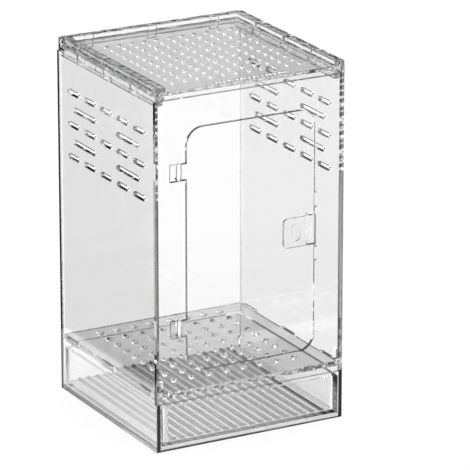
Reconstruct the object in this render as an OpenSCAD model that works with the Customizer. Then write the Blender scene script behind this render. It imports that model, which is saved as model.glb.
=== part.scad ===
// Plastic pet keeper: a tall clear box for small pets, with a hinged front
// door, a perforated lid that slides forward, a perforated false floor and a
// shallow drawer under it. Sizes are in millimetres. +Z is up, the front is
// -Y, and the origin is on the table under the middle of the whole object.

/* [Case] */
// Outside width
case_w = 100; // [90:1:130]
// Outside depth, without the finger pull
case_d = 100; // [90:1:130]
// Height over the top frame
case_h = 178; // [165:1:230]
// Thickness of the side, back and front panels
wall = 2; // [1.6:0.1:3]
// Thickness of the base plate
base_t = 2.4; // [2:0.2:4]
// Gap left between a fixed piece and the opening it drops into
seat_gap = 0.1; // [0.05:0.05:0.2]
// Gap left round every piece that moves
move_gap = 0.3; // [0.3:0.05:0.5]

/* [Front panel] */
// Height of the front panel's lower edge
front_low = 23.5; // [23.5:0.5:26]
// How far the front panel's corner lugs stand in behind it
lug_depth = 2.4; // [1.5:0.1:4]
// Height of those lugs
lug_h = 5; // [3:0.5:8]

/* [Door] */
// Width of the door
door_w = 68; // [56:1:72]
// Height of the door
door_h = 119; // [100:1:122]
// Height of the door's lower edge
door_low = 37.5; // [36:0.5:40]
// Corner radius of the door
door_r = 8.5; // [4:0.5:14]
// How far the door's middle lies to the right of the case's middle
door_shift = 0.4; // [0:0.1:1]
// Gap between the door and its opening
door_gap = 0.4; // [0.35:0.05:0.6]
// From the door's edge to the hinge axis
hinge_out = 3.6; // [3.2:0.1:4.2]
// From the door's top to the middle of the upper hinge
hinge_drop = 20.5; // [16:0.5:30]
// From the door's bottom to the middle of the lower hinge
hinge_rise = 22; // [16:0.5:30]
// Height of a hinge clip
clip_h = 7.6; // [5:0.2:10]
// Outside radius of a hinge clip
clip_r = 1.8; // [1.7:0.05:2]
// Radius of a hinge pin
pin_r = 0.9; // [0.7:0.05:1]
// Gap between a pin and its clip
pin_gap = 0.2; // [0.15:0.05:0.25]
// From the hinge axis to the window's far edge
window_out = 5; // [4:0.1:6]

/* [Finger pull and catch] */
// How far the finger pull stands out
pull_out = 3.5; // [2.5:0.1:6]
// Height of the finger pull
pull_h = 14.5; // [10:0.5:20]
// Length of the finger pull
pull_len = 17.4; // [15:0.2:20]
// Thickness of its blade
pull_blade = 1.2; // [0.8:0.1:1.5]
// Width of its foot
pull_foot = 4.3; // [3:0.1:5]
// From the foot to the door's edge
pull_edge = 1.2; // [1:0.1:3]
// From the door's bottom to the middle of the pull
pull_rise = 61; // [50:0.5:65]
// Width of the thumb dish in the blade
dish_w = 4.4; // [3:0.1:6]
// Height of the thumb dish
dish_h = 8.6; // [6:0.1:10]
// Depth of the thumb dish
dish_deep = 0.6; // [0.3:0.1:0.7]
// Distance between the door's two catches
catch_gap = 26.6; // [22:0.2:34]
// Height of a catch
catch_h = 6.6; // [5:0.2:9]
// How far a catch stands out from the door's edge
catch_out = 1; // [0.8:0.1:1.4]
// Thickness of the ledge that a catch shuts against
ledge_t = 0.7; // [0.5:0.1:0.8]

/* [Top frame] */
// Height of the top frame above the panels
frame_h = 6.6; // [6.4:0.1:9]
// Width of the frame's upper lip
lip_w = 5.5; // [4.5:0.1:8]
// Thickness of the frame's upper lip
lip_t = 2.2; // [1.5:0.1:2.4]
// Depth of the lid's groove behind the lower lip
groove_w = 2.2; // [1.5:0.1:2.5]
// How far the frame's skirt hangs inside the panels
skirt_drop = 2.4; // [1:0.1:4]
// Radius of the frame's rear corners
frame_r = 2; // [1:0.1:3]
// Chamfer along the frame's upper edges
frame_chamfer = 0.5; // [0.2:0.1:1]
// Width of a snap lug in the side panels
snap_w = 7; // [4:0.5:10]
// Depth of a snap lug
snap_drop = 2; // [1:0.1:3]
// From a panel's corner to the middle of its outer snap lug
snap_end = 23; // [15:0.5:30]
// Width of a slit in the skirt
slit_w = 1.6; // [1:0.1:3]
// Depth of the groove in the frame's outer face above each snap lug
relief = 0.8; // [0.4:0.1:1.2]

/* [Lid] */
// Thickness of the lid
lid_t = 2; // [1.5:0.1:2.2]
// Diameter of a lid hole
lid_hole = 2.2; // [1.5:0.1:3.5]
// Depth of the flare at the top of a lid hole
lid_flare = 0.2; // [0.1:0.1:0.8]
// Distance between lid holes
lid_pitch = 6.72; // [5:0.01:9]
// From the frame's lip to the nearest hole
lid_margin = 8; // [5:0.5:12]
// From the back of the case to the last row of holes
lid_rear = 19.2; // [12:0.2:20]
// From the front of the case to the first possible row of holes
lid_front = 13; // [10:0.5:20]
// Thickness of the lid's front lip
lid_lip = 2; // [1.5:0.1:3]
// Length of the finger ridge
ridge_len = 37; // [20:1:60]
// Width of the finger ridge
ridge_w = 2.4; // [1.6:0.2:4]

/* [False floor] */
// Height of the false floor's upper face
floor_top = 28.5; // [27.5:0.5:30]
// Thickness of the false floor
floor_t = 2.6; // [1.8:0.1:3]
// Diameter of a floor hole
floor_hole = 3.5; // [2:0.1:4.5]
// Depth of the flare at the top of a floor hole
floor_flare = 0.2; // [0.1:0.1:1]
// Distance between floor holes
floor_pitch = 9.2; // [7:0.1:12]
// From a side panel to the nearest possible hole
floor_margin = 12; // [8:0.5:16]
// From the back of the case to the last row of holes
floor_rear = 9.8; // [7:0.2:14]
// From the front of the case to the first possible row of holes
floor_front = 16; // [10:0.5:20]
// Length of a tab of the false floor
tab_len = 12; // [8:0.5:16]
// From a corner of the case to the middle of the outer tab
tab_end = 12; // [10:0.5:16]
// Free height above a tab in its window
tab_play = 0.4; // [0.3:0.1:1]

/* [Drawer] */
// Height of the drawer's rim
drawer_top = 21.7; // [18:0.1:23]
// Thickness of the drawer's walls
drawer_wall = 1.6; // [1.2:0.1:2.4]
// Thickness of the drawer's floor
drawer_floor = 1.6; // [1.2:0.1:2.4]
// Radius inside the drawer's corners
drawer_r = 2.5; // [1:0.1:5]
// Distance between the floor ribs
rib_pitch = 4.7; // [3.5:0.1:8]
// Radius of a half-round floor rib
rib_r = 1.3; // [0.6:0.1:1.4]

/* [Air slots] */
// Length of a short slot
slot_short = 11.3; // [8:0.1:14]
// Length of a long slot
slot_long = 23; // [18:0.5:28]
// Height of every slot
slot_h = 2.5; // [1.5:0.1:3.5]
// Distance between short slots in a row
short_pitch = 16.75; // [15:0.05:20]
// Distance between long slots in a row
long_pitch = 44.6; // [30:0.1:50]
// Distance between rows
row_pitch = 8; // [6:0.1:10]
// Rows of slots
rows = 5; // [3:1:5]
// From the panel's top to the middle of the first row
row_drop = 17.4; // [14:0.1:24]
// From the panel's end to the nearest possible slot
slot_margin = 8; // [6:0.5:12]

/* [Hidden] */
$fn = 48;
eps = 0.01;

y_front = -case_d / 2 + pull_out / 2;
y_back = y_front + case_d;
y_mid = (y_front + y_back) / 2;
x_out = case_w / 2;
x_in = x_out - wall;
panel_top = case_h - frame_h;

groove_top = case_h - lip_t;
lid_high = groove_top - move_gap;
lid_low = lid_high - lid_t;
groove_low = lid_low - move_gap;
skirt_out = wall + seat_gap;
groove_out = skirt_out + move_gap;
skirt_in = groove_out + groove_w;
skirt_low = panel_top - skirt_drop;
lid_x = x_out - groove_out - move_gap;
lid_end = y_back - groove_out - move_gap;
lid_lip_x = x_out - skirt_in - move_gap;
lid_lip_low = panel_top + move_gap;

door_top = door_low + door_h;
door_left = door_shift - door_w / 2;
door_right = door_shift + door_w / 2;
hinge_x = door_left - hinge_out;
hinge_y = y_front + min(1.4, wall - 0.4);
hinge_zs = [door_low + hinge_rise, door_top - hinge_drop];
pull_z = door_low + pull_rise;
pull_x = door_right - pull_edge;
dish_x = pull_x - (pull_foot + pull_len) / 2;
catch_zs = [pull_z - catch_gap / 2, pull_z + catch_gap / 2];
catch_t = wall - ledge_t - move_gap;

floor_low = floor_top - floor_t;
tab_ys = [y_front + tab_end, y_mid, y_back - tab_end];
snap_ys = [y_front + snap_end, y_mid, y_back - snap_end];
back_snap_w = snap_w - 2.5;
back_snap_end = snap_end - 7;
snap_xs = [-x_out + back_snap_end, 0, x_out - back_snap_end];

drawer_low = base_t + move_gap;
drawer_x = x_in - move_gap;
drawer_end = y_back - wall - move_gap;
drawer_in_x = drawer_x - drawer_wall;
drawer_in_y = [y_front + drawer_wall, drawer_end - drawer_wall];

clear_plastic = [0.86, 0.91, 0.94, 0.45];
clear_moving = [0.78, 0.88, 0.95, 0.55];

// How many features of a pitch fit in a span.
function count(span, pitch) = max(1, floor(span / pitch) + 1);

// A box from two corners.
module block(a, b) {
    translate(a)
        cube(b - a);
}

// A rectangle with round corners, from two corners.
module round_rect(a, b, r) {
    translate([a[0] + r, a[1]])
        square([b[0] - a[0] - 2 * r, b[1] - a[1]]);
    translate([a[0], a[1] + r])
        square([b[0] - a[0], b[1] - a[1] - 2 * r]);
    for (x = [a[0] + r, b[0] - r])
        for (y = [a[1] + r, b[1] - r])
            translate([x, y])
                circle(r = r);
}

// A slot with round ends.
module slot(len) {
    square([len - slot_h, slot_h], center = true);
    for (s = [-1, 1])
        translate([s * (len - slot_h) / 2, 0])
            circle(d = slot_h);
}

// A row of slots centred on the panel.
module slot_row(len, pitch) {
    n = count(case_d - 2 * slot_margin - len, pitch);
    for (i = [0 : n - 1])
        translate([y_mid + (i - (n - 1) / 2) * pitch, 0])
            slot(len);
}

// Stands a drawing of X and Z up as a plate whose front face is at y.
module standing(y, t) {
    translate([0, y + t, 0])
        rotate([90, 0, 0])
            linear_extrude(height = t)
                children();
}

// Outline of a side panel, drawn in Y and Z. It runs the full depth beside
// the drawer and stops behind the front panel above it.
module side_outline() {
    translate([y_front, 0])
        square([case_d - wall, front_low]);
    translate([y_front + wall, 0])
        square([case_d - 2 * wall, panel_top]);
}

module side_cuts() {
    for (i = [0 : rows - 1])
        translate([0, panel_top - row_drop - i * row_pitch])
            if (i % 2 == 0)
                slot_row(slot_short, short_pitch);
            else
                slot_row(slot_long, long_pitch);
    for (y = tab_ys)
        translate([y - tab_len / 2 - seat_gap, floor_low])
            square([tab_len + 2 * seat_gap, floor_t + tab_play]);
    for (y = snap_ys)
        translate([y - snap_w / 2 - seat_gap, panel_top - snap_drop])
            square([snap_w + 2 * seat_gap, snap_drop + 1]);
}

module side_plate(x) {
    translate([x, 0, 0])
        rotate([90, 0, 90])
            linear_extrude(height = wall)
                difference() {
                    side_outline();
                    side_cuts();
                }
}

module side_panel_left() {
    color(clear_plastic)
        side_plate(-x_out);
}

module side_panel_right() {
    color(clear_plastic)
        side_plate(x_out - wall);
}

module back_panel() {
    color(clear_plastic)
        standing(y_back - wall, wall)
            difference() {
                translate([-x_out, 0])
                    square([case_w, panel_top]);
                for (x = snap_xs)
                    translate([x - back_snap_w / 2 - seat_gap, panel_top - snap_drop])
                        square([back_snap_w + 2 * seat_gap, snap_drop + 1]);
            }
}

module base_plate() {
    color(clear_plastic)
        block([-x_in, y_front, 0], [x_in, y_back - wall, base_t]);
}

// The front panel, with its door opening and the windows of the two hinges.
module front_outline() {
    difference() {
        translate([-x_out, front_low])
            square([case_w, panel_top - front_low]);
        round_rect(
            [door_left - door_gap, door_low - door_gap],
            [door_right + door_gap, door_top + door_gap],
            door_r + door_gap
        );
        for (z = hinge_zs)
            translate([hinge_x - window_out, z - clip_h / 2 - door_gap])
                square([window_out + hinge_out, clip_h + 2 * door_gap]);
    }
}

module hinge_pin(z) {
    translate([hinge_x, hinge_y, z - clip_h / 2 - door_gap - 1])
        cylinder(r = pin_r, h = clip_h + 2 * door_gap + 2);
}

// The notch beside the opening that takes a catch. It is open to the front
// and leaves a thin ledge at the back, so the door can't swing inward.
module catch_notch(z) {
    block(
        [door_right, y_front - 1, z - catch_h / 2 - door_gap],
        [door_right + catch_out + door_gap, y_front + wall - ledge_t, z + catch_h / 2 + door_gap]
    );
}

// A lug that keeps the front panel's corner between the side panels.
module corner_lug(x) {
    block(
        [x - wall / 2, y_front + wall - eps, floor_top + 1],
        [x + wall / 2, y_front + wall + lug_depth, floor_top + 1 + lug_h]
    );
}

module front_panel() {
    color(clear_plastic) {
        difference() {
            standing(y_front, wall)
                front_outline();
            for (z = catch_zs)
                catch_notch(z);
        }
        for (z = hinge_zs)
            hinge_pin(z);
        for (s = [-1, 1])
            corner_lug(s * (x_in - wall / 2));
    }
}

// A clip that snaps round a hinge pin; its mouth faces away from the door.
module hinge_clip(z) {
    translate([hinge_x, hinge_y, z - clip_h / 2])
        difference() {
            union() {
                cylinder(r = clip_r, h = clip_h);
                translate([0, y_front - hinge_y, 0])
                    cube([hinge_out + 1, wall, clip_h]);
            }
            translate([0, 0, -1])
                cylinder(r = pin_r + pin_gap, h = clip_h + 2);
            translate([-clip_r - 1, -pin_r * 0.7, -1])
                cube([clip_r + 1, pin_r * 1.4, clip_h + 2]);
        }
}

// A finger pull: a foot on the door and a blade standing off toward the
// hinge, with a shallow dish for the thumb.
module finger_pull() {
    block(
        [pull_x - pull_foot, y_front - pull_out, pull_z - pull_h / 2],
        [pull_x, y_front + eps, pull_z + pull_h / 2]
    );
    difference() {
        standing(y_front - pull_out, pull_blade)
            round_rect(
                [pull_x - pull_len, pull_z - pull_h / 2],
                [pull_x, pull_z + pull_h / 2],
                2
            );
        standing(y_front - pull_out - 1, dish_deep + 1)
            round_rect(
                [dish_x - dish_w / 2, pull_z - dish_h / 2],
                [dish_x + dish_w / 2, pull_z + dish_h / 2],
                dish_w / 2 - eps
            );
    }
}

module front_door() {
    color(clear_moving) {
        standing(y_front, wall)
            round_rect([door_left, door_low], [door_right, door_top], door_r);
        for (z = hinge_zs)
            hinge_clip(z);
        finger_pull();
        for (z = catch_zs)
            block(
                [door_right - 1, y_front, z - catch_h / 2],
                [door_right + catch_out, y_front + catch_t, z + catch_h / 2]
            );
    }
}

// Outline of the top frame seen from above, with round rear corners.
module frame_plan(inset) {
    round_rect(
        [-x_out + inset, y_front + 2 * frame_r],
        [x_out - inset, y_back - inset],
        frame_r
    );
    translate([-x_out + inset, y_front])
        square([case_w - 2 * inset, case_d / 2]);
}

module frame_body() {
    translate([0, 0, panel_top])
        linear_extrude(height = frame_h - frame_chamfer)
            frame_plan(0);
    translate([0, 0, case_h - frame_chamfer - eps])
        linear_extrude(height = frame_chamfer + eps)
            frame_plan(frame_chamfer);
    block(
        [-x_out + skirt_out, y_front + wall + seat_gap, skirt_low],
        [x_out - skirt_out, y_back - skirt_out, panel_top + eps]
    );
}

module frame_hollow() {
    block(
        [-x_out + lip_w, y_front - 1, groove_low],
        [x_out - lip_w, y_back - lip_w, case_h + 1]
    );
    block(
        [-x_out + groove_out, y_front - 1, groove_low],
        [x_out - groove_out, y_back - groove_out, groove_top]
    );
    block(
        [-x_out + skirt_in, y_front - 1, skirt_low - 1],
        [x_out - skirt_in, y_back - skirt_in, groove_low + eps]
    );
    block(
        [-x_out + skirt_in, y_mid, skirt_low - 1],
        [x_out - skirt_in, y_back + 1, panel_top]
    );
}

module skirt_slits() {
    for (y = snap_ys)
        for (s = [-1, 1])
            block(
                [-x_out + skirt_out - eps, y + s * snap_w / 2 - slit_w / 2, skirt_low - 1],
                [x_out - skirt_out + eps, y + s * snap_w / 2 + slit_w / 2, panel_top]
            );
}

// Grooves up the frame's outer face, one above each snap lug.
module snap_reliefs() {
    for (y = snap_ys)
        for (s = [-1, 1])
            translate([s * x_out - relief, y - back_snap_w / 2, panel_top - 1])
                cube([2 * relief, back_snap_w, frame_h + 2]);
    for (x = snap_xs)
        translate([x - back_snap_w / 2, y_back - relief, panel_top - 1])
            cube([back_snap_w, 2 * relief, frame_h + 2]);
}

module snap_lugs() {
    for (y = snap_ys)
        for (s = [-1, 1])
            translate([s * (x_out - skirt_out / 2) - skirt_out / 2, y - snap_w / 2, panel_top - snap_drop])
                cube([skirt_out, snap_w, snap_drop + eps]);
    for (x = snap_xs)
        translate([x - back_snap_w / 2, y_back - skirt_out, panel_top - snap_drop])
            cube([back_snap_w, skirt_out, snap_drop + eps]);
}

module top_frame() {
    color(clear_plastic) {
        difference() {
            frame_body();
            frame_hollow();
            skirt_slits();
            snap_reliefs();
        }
        snap_lugs();
    }
}

// Places its children at each hole of a square field, centred across the case
// and counted from the back row forward.
module field(nx, ny, pitch, y_last) {
    for (i = [0 : nx - 1])
        for (j = [0 : ny - 1])
            translate([(i - (nx - 1) / 2) * pitch, y_last - j * pitch, 0])
                children();
}

// Flare at the top of a hole that starts depth below the plate's face at z.
module flare(d, depth, z) {
    translate([0, 0, z - depth])
        cylinder(d1 = d, d2 = d + 2 * depth + 2 * eps, h = depth + eps, $fn = 24);
}

module lid_field() {
    field(
        count(case_w - 2 * lip_w - 2 * lid_margin - lid_hole, lid_pitch),
        count(case_d - lid_rear - lid_front, lid_pitch),
        lid_pitch,
        y_back - lid_rear
    )
        children();
}

module lid_plan() {
    difference() {
        translate([-lid_x, y_front])
            square([2 * lid_x, lid_end - y_front]);
        lid_field()
            circle(d = lid_hole, $fn = 24);
    }
}

module sliding_lid() {
    color(clear_moving) {
        difference() {
            translate([0, 0, lid_low])
                linear_extrude(height = lid_t)
                    lid_plan();
            lid_field()
                flare(lid_hole, lid_flare, lid_high);
        }
        block(
            [-lid_lip_x, y_front, lid_lip_low],
            [lid_lip_x, y_front + lid_lip, lid_low + eps]
        );
        translate([0, y_front, lid_high])
            rotate([0, 90, 0])
                linear_extrude(height = ridge_len, center = true)
                    intersection() {
                        translate([0, ridge_w / 2])
                            circle(d = ridge_w);
                        translate([-ridge_w, 0])
                            square([ridge_w + eps, ridge_w]);
                    }
    }
}

module floor_field() {
    field(
        count(2 * x_in - 2 * floor_margin - floor_hole, floor_pitch),
        count(case_d - floor_rear - floor_front, floor_pitch),
        floor_pitch,
        y_back - floor_rear
    )
        children();
}

// The false floor seen from above, with its field of drain holes.
module floor_plan() {
    difference() {
        union() {
            translate([-x_in + seat_gap, y_front + wall + seat_gap])
                square([2 * (x_in - seat_gap), case_d - 2 * wall - 2 * seat_gap]);
            for (y = tab_ys)
                translate([-x_out, y - tab_len / 2])
                    square([case_w, tab_len]);
        }
        floor_field()
            circle(d = floor_hole, $fn = 24);
    }
}

module false_floor() {
    color(clear_plastic)
        difference() {
            translate([0, 0, floor_low])
                linear_extrude(height = floor_t)
                    floor_plan();
            floor_field()
                flare(floor_hole, floor_flare, floor_top);
        }
}

module drawer_ribs() {
    n = count(2 * drawer_in_x - 2 * rib_pitch, rib_pitch);
    for (i = [0 : n - 1])
        translate([(i - (n - 1) / 2) * rib_pitch, drawer_in_y[0] + 1, drawer_low + drawer_floor])
            rotate([-90, 0, 0])
                cylinder(r = rib_r, h = drawer_in_y[1] - drawer_in_y[0] - 2, $fn = 32);
}

module drawer() {
    color(clear_moving) {
        difference() {
            block([-drawer_x, y_front, drawer_low], [drawer_x, drawer_end, drawer_top]);
            translate([0, 0, drawer_low + drawer_floor])
                linear_extrude(height = drawer_top)
                    round_rect(
                        [-drawer_in_x, drawer_in_y[0]],
                        [drawer_in_x, drawer_in_y[1]],
                        drawer_r
                    );
        }
        drawer_ribs();
    }
}

side_panel_left();
side_panel_right();
back_panel();
front_panel();
base_plate();
false_floor();
top_frame();
front_door();
sliding_lid();
drawer();
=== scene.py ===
"""Looks of the plastic pet keeper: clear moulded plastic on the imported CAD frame."""

import math

import bpy
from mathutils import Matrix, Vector

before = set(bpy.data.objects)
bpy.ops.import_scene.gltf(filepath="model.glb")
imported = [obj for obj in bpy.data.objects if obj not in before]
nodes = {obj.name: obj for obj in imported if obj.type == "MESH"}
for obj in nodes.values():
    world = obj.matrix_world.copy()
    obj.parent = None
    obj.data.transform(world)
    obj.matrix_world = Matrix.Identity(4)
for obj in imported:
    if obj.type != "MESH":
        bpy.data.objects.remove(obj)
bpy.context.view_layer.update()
scene = bpy.context.scene

HEIGHT = 0.178  # of the whole keeper
CENTRE_Y = 0.00175  # middle of the case, which the finger pull moves off the origin
EDGE = 0.00012  # radius that moulding leaves on every edge
SEAT = 0.00002  # what each piece draws in, so that air shows where two pieces meet
POLYSTYRENE = 1.59  # refractive index of the plastic
PAPER_GREY = 0.86  # colour of the floor's paper
PAPER_GLOW = 0.9  # share of plain white in the paper, to the rays that seen() names
FLOOR_RADIUS = 4.0
FLOOR_Z, STRIP_Z = -0.0003, -0.0002  # just under the keeper, the strips above the floor


# Node helpers


def new_material(name):
    """An empty node material: (material, node tree, output node)."""
    m = bpy.data.materials.new(name)
    m.use_nodes = True
    m.node_tree.nodes.clear()
    out = m.node_tree.nodes.new("ShaderNodeOutputMaterial")
    return m, m.node_tree, out


def add(tree, kind, **values):
    """A new node; values set its properties, or its inputs by name."""
    n = tree.nodes.new("ShaderNode" + kind)
    for key, value in values.items():
        if hasattr(n, key):
            setattr(n, key, value)
        else:
            n.inputs[key.replace("_", " ")].default_value = value
    return n


def ramp(tree, source, low, high, to_low=0.0, to_high=1.0):
    """source, mapped smoothly from low..high to to_low..to_high."""
    n = add(tree, "MapRange", interpolation_type="SMOOTHSTEP")
    tree.links.new(source, n.inputs["Value"])
    for key, value in zip(
        ("From Min", "From Max", "To Min", "To Max"), (low, high, to_low, to_high)
    ):
        n.inputs[key].default_value = value
    return n.outputs["Result"]


def maths(tree, operation, a, b):
    """A Math node on sockets or numbers."""
    n = add(tree, "Math", operation=operation)
    for socket, value in zip(n.inputs, (a, b)):
        if isinstance(value, (int, float)):
            socket.default_value = value
        else:
            tree.links.new(value, socket)
    return n.outputs[0]


# Materials


def clear_plastic(name, tint, absorb, wave=0.00004, grain=28.0, haze=(0.0, 0.05)):
    """Clear moulded plastic.

    tint is the colour that one wall lets through, absorb the density of the darkening
    inside the plastic, wave the height of the surface's ripples in metres, grain the
    scale of their noise, and haze the range of the roughness.
    """
    m, tree, out = new_material(name)
    links = tree.links
    place = add(tree, "TexCoord").outputs["Object"]
    smudge = add(tree, "TexNoise", Scale=60.0, Detail=4.0, Roughness=0.6)
    ripple = add(tree, "TexNoise", Scale=grain, Detail=1.0, Roughness=0.4)
    fine = add(tree, "TexNoise", Scale=900.0, Detail=2.0)
    for n in (smudge, ripple, fine):
        links.new(place, n.inputs["Vector"])
    shader = add(
        tree,
        "BsdfPrincipled",
        Base_Color=(*tint, 1.0),
        IOR=POLYSTYRENE,
        Transmission_Weight=1.0,
    )
    links.new(
        ramp(tree, smudge.outputs["Fac"], 0.45, 0.75, *haze),
        shader.inputs["Roughness"],
    )
    surface = maths(
        tree,
        "ADD",
        ripple.outputs["Fac"],
        maths(tree, "MULTIPLY", fine.outputs["Fac"], 0.02),
    )
    bump = add(tree, "Bump", Strength=0.6, Distance=wave)
    links.new(surface, bump.inputs["Height"])
    links.new(bump.outputs["Normal"], shader.inputs["Normal"])
    links.new(shader.outputs[0], out.inputs["Surface"])
    inside = add(tree, "VolumeAbsorption", Color=(0.2, 0.22, 0.22, 1.0), Density=absorb)
    links.new(inside.outputs[0], out.inputs["Volume"])
    return m


def dress(node, material):
    """Gives a CAD node its material."""
    o = nodes[node]
    if not o.material_slots:
        o.data.materials.append(material)
    for s in o.material_slots:
        s.material = material
    flat = o.modifiers.new("join_flats", "DECIMATE")
    flat.decimate_type = "DISSOLVE"
    flat.angle_limit = math.radians(1)
    seat = o.modifiers.new("seat", "DISPLACE")
    seat.mid_level = 0.0
    seat.strength = -SEAT
    rim = o.modifiers.new("moulded_edges", "BEVEL")
    rim.width = EDGE
    rim.segments = 2
    rim.limit_method = "ANGLE"
    rim.angle_limit = math.radians(35)
    rim.harden_normals = False


side = clear_plastic("clear_side", (0.997, 0.997, 0.997), 14.0)
pane = clear_plastic("clear_pane", (0.997, 0.997, 0.997), 3.0)
rear = clear_plastic("clear_rear", (0.997, 0.997, 0.997), 20.0)
base = clear_plastic("clear_base", (0.99, 0.99, 0.99), 1.5)
bar = clear_plastic(
    "clear_frame", (0.985, 0.985, 0.985), 14.0, wave=0.0008, grain=160.0
)
lid = clear_plastic("clear_lid", (0.95, 0.95, 0.95), 3.0, haze=(0.0, 0.06))
tray = clear_plastic("clear_tray", (0.985, 0.985, 0.985), 1.5, haze=(0.0, 0.08))

for name in ("side_panel_left", "side_panel_right"):
    dress(name, side)
for name in ("front_panel", "front_door"):
    dress(name, pane)
dress("base_plate", base)
dress("back_panel", rear)
dress("top_frame", bar)
dress("sliding_lid", lid)
for name in ("false_floor", "drawer"):
    dress(name, tray)


# Stage: a white floor, and a world that is white to the camera


def seen(tree):
    """1 for a ray that the camera, a reflection or a clear wall sends."""
    path = add(tree, "LightPath").outputs
    return maths(
        tree,
        "MAXIMUM",
        path["Is Camera Ray"],
        maths(tree, "MAXIMUM", path["Is Glossy Ray"], path["Is Transmission Ray"]),
    )


m, tree, out = new_material("floor_white")
paper = add(tree, "BsdfDiffuse", Color=(PAPER_GREY, PAPER_GREY, PAPER_GREY, 1.0))
white = add(tree, "Emission", Color=(1.0, 1.0, 1.0, 1.0), Strength=1.0)
mix = add(tree, "MixShader")
tree.links.new(maths(tree, "MULTIPLY", seen(tree), PAPER_GLOW), mix.inputs[0])
tree.links.new(paper.outputs[0], mix.inputs[1])
tree.links.new(white.outputs[0], mix.inputs[2])
tree.links.new(mix.outputs[0], out.inputs["Surface"])

bpy.ops.mesh.primitive_circle_add(
    vertices=96, radius=FLOOR_RADIUS, fill_type="NGON", location=(0, 0, FLOOR_Z)
)
floor = bpy.context.object
floor.name = "floor"
floor.data.materials.append(m)
floor.visible_glossy = False
floor.visible_transmission = False

# Strips of that paper to the left of the keeper and behind it, near enough to show in
# its lowest parts: name, x and y of one corner, x and y of the opposite one
for name, x0, y0, x1, y1 in (
    ("paper_left", -0.09, -0.06, -0.0505, 0.128),
    ("paper_behind", -0.0505, 0.0523, 0.065, 0.075),
):
    bpy.ops.mesh.primitive_plane_add(
        size=1, location=((x0 + x1) / 2, (y0 + y1) / 2, STRIP_Z)
    )
    strip = bpy.context.object
    strip.name = name
    strip.scale = (x1 - x0, y1 - y0, 1)
    strip.data.materials.append(m)

world = bpy.data.worlds.new("studio")
scene.world = world
world.use_nodes = True
tree = world.node_tree
tree.nodes.clear()
path = add(tree, "LightPath").outputs
aim = add(tree, "TexCoord").outputs["Generated"]
split = add(tree, "SeparateXYZ")
tree.links.new(aim, split.inputs[0])


def facing(direction, low, high, to_low, to_high):
    """A ramp over the cosine between the ray and a direction."""
    n = add(tree, "VectorMath", operation="DOT_PRODUCT")
    tree.links.new(aim, n.inputs[0])
    n.inputs[1].default_value = Vector(direction).normalized()
    return ramp(tree, n.outputs["Value"], low, high, to_low, to_high)


# What reflections and clear walls see; every other ray sees an even white of 1. The
# two lights give the holes their bright dots, and the darker parts give the walls
# and edges their greys. VIEW is the way that the photograph looks.
VIEW = (0.457, 0.831, -0.319)
VIEW_MIRRORED = (0.457, -0.831, -0.319)  # that view, reflected by the front panel
front_light = facing((-0.62, -0.72, -0.3), 0.45, 0.8, 1.0, 2.4)
left_light = facing((-0.95, 0.3, -0.3), 0.85, 0.95, 0.0, 2.2)
dark_above = ramp(tree, split.outputs["Z"], 0.10, 0.24, 1.0, 0.05)
backdrop = facing(VIEW, 0.5, 0.9, 1.0, 1.08)
dark_back_left = facing((-0.457, 0.84, -0.294), 0.968, 0.985, 1.0, 0.05)
grey_front_right = facing(VIEW_MIRRORED, 0.8, 0.94, 1.0, 0.65)
studio = front_light
for part in (dark_above, backdrop, dark_back_left, grey_front_right):
    studio = maths(tree, "MULTIPLY", studio, part)
studio = maths(tree, "ADD", studio, left_light)
through = maths(tree, "MAXIMUM", path["Is Glossy Ray"], path["Is Transmission Ray"])
level = maths(
    tree,
    "ADD",
    maths(tree, "MULTIPLY", through, studio),
    maths(tree, "SUBTRACT", 1.0, through),
)
background = add(tree, "Background", Color=(1.0, 1.0, 1.0, 1.0))
tree.links.new(level, background.inputs["Strength"])
out = add(tree, "OutputWorld")
tree.links.new(background.outputs[0], out.inputs["Surface"])


# Light: one large soft lamp nearly straight above

lamp = bpy.data.lights.new("softbox", "AREA")
lamp.shape = "RECTANGLE"
lamp.size, lamp.size_y = 0.9, 0.9
lamp.energy = 12.0
softbox = bpy.data.objects.new("softbox", lamp)
softbox.location = (0.1, 0.1, 1.0)
softbox.rotation_euler = (
    (Vector((0, 0, 0.08)) - softbox.location).to_track_quat("-Z", "Y").to_euler()
)
scene.collection.objects.link(softbox)

scene.cycles.max_bounces = 32
scene.cycles.transmission_bounces = 24
scene.cycles.glossy_bounces = 16


# Camera: the photograph's view, from the front left and a little above

# Fitted to the photograph: the view's direction, and where the camera stands off
# the middle of the case, in heights of the keeper
turn, rise = math.radians(28.78), math.radians(18.58)
shift_right, shift_up, distance = 0.0943, -0.0205, 11.2526
LENS = 321.47  # mm on a sensor of 36 mm
back = Vector(
    (-math.sin(turn) * math.cos(rise), -math.cos(turn) * math.cos(rise), math.sin(rise))
)
right = Vector((math.cos(turn), -math.sin(turn), 0))
up = back.cross(right)
data = bpy.data.cameras.new("camera")
data.sensor_width = 36
data.lens = LENS
data.clip_start, data.clip_end = 0.05, 50
camera = bpy.data.objects.new("camera", data)
camera.location = (
    Vector((0, CENTRE_Y, HEIGHT / 2))
    + right * shift_right * HEIGHT
    + up * shift_up * HEIGHT
    + back * distance * HEIGHT
)
camera.rotation_mode = "QUATERNION"
camera.rotation_quaternion = back.to_track_quat("Z", "Y")
scene.collection.objects.link(camera)
scene.camera = camera

scene.view_settings.view_transform = "Standard"
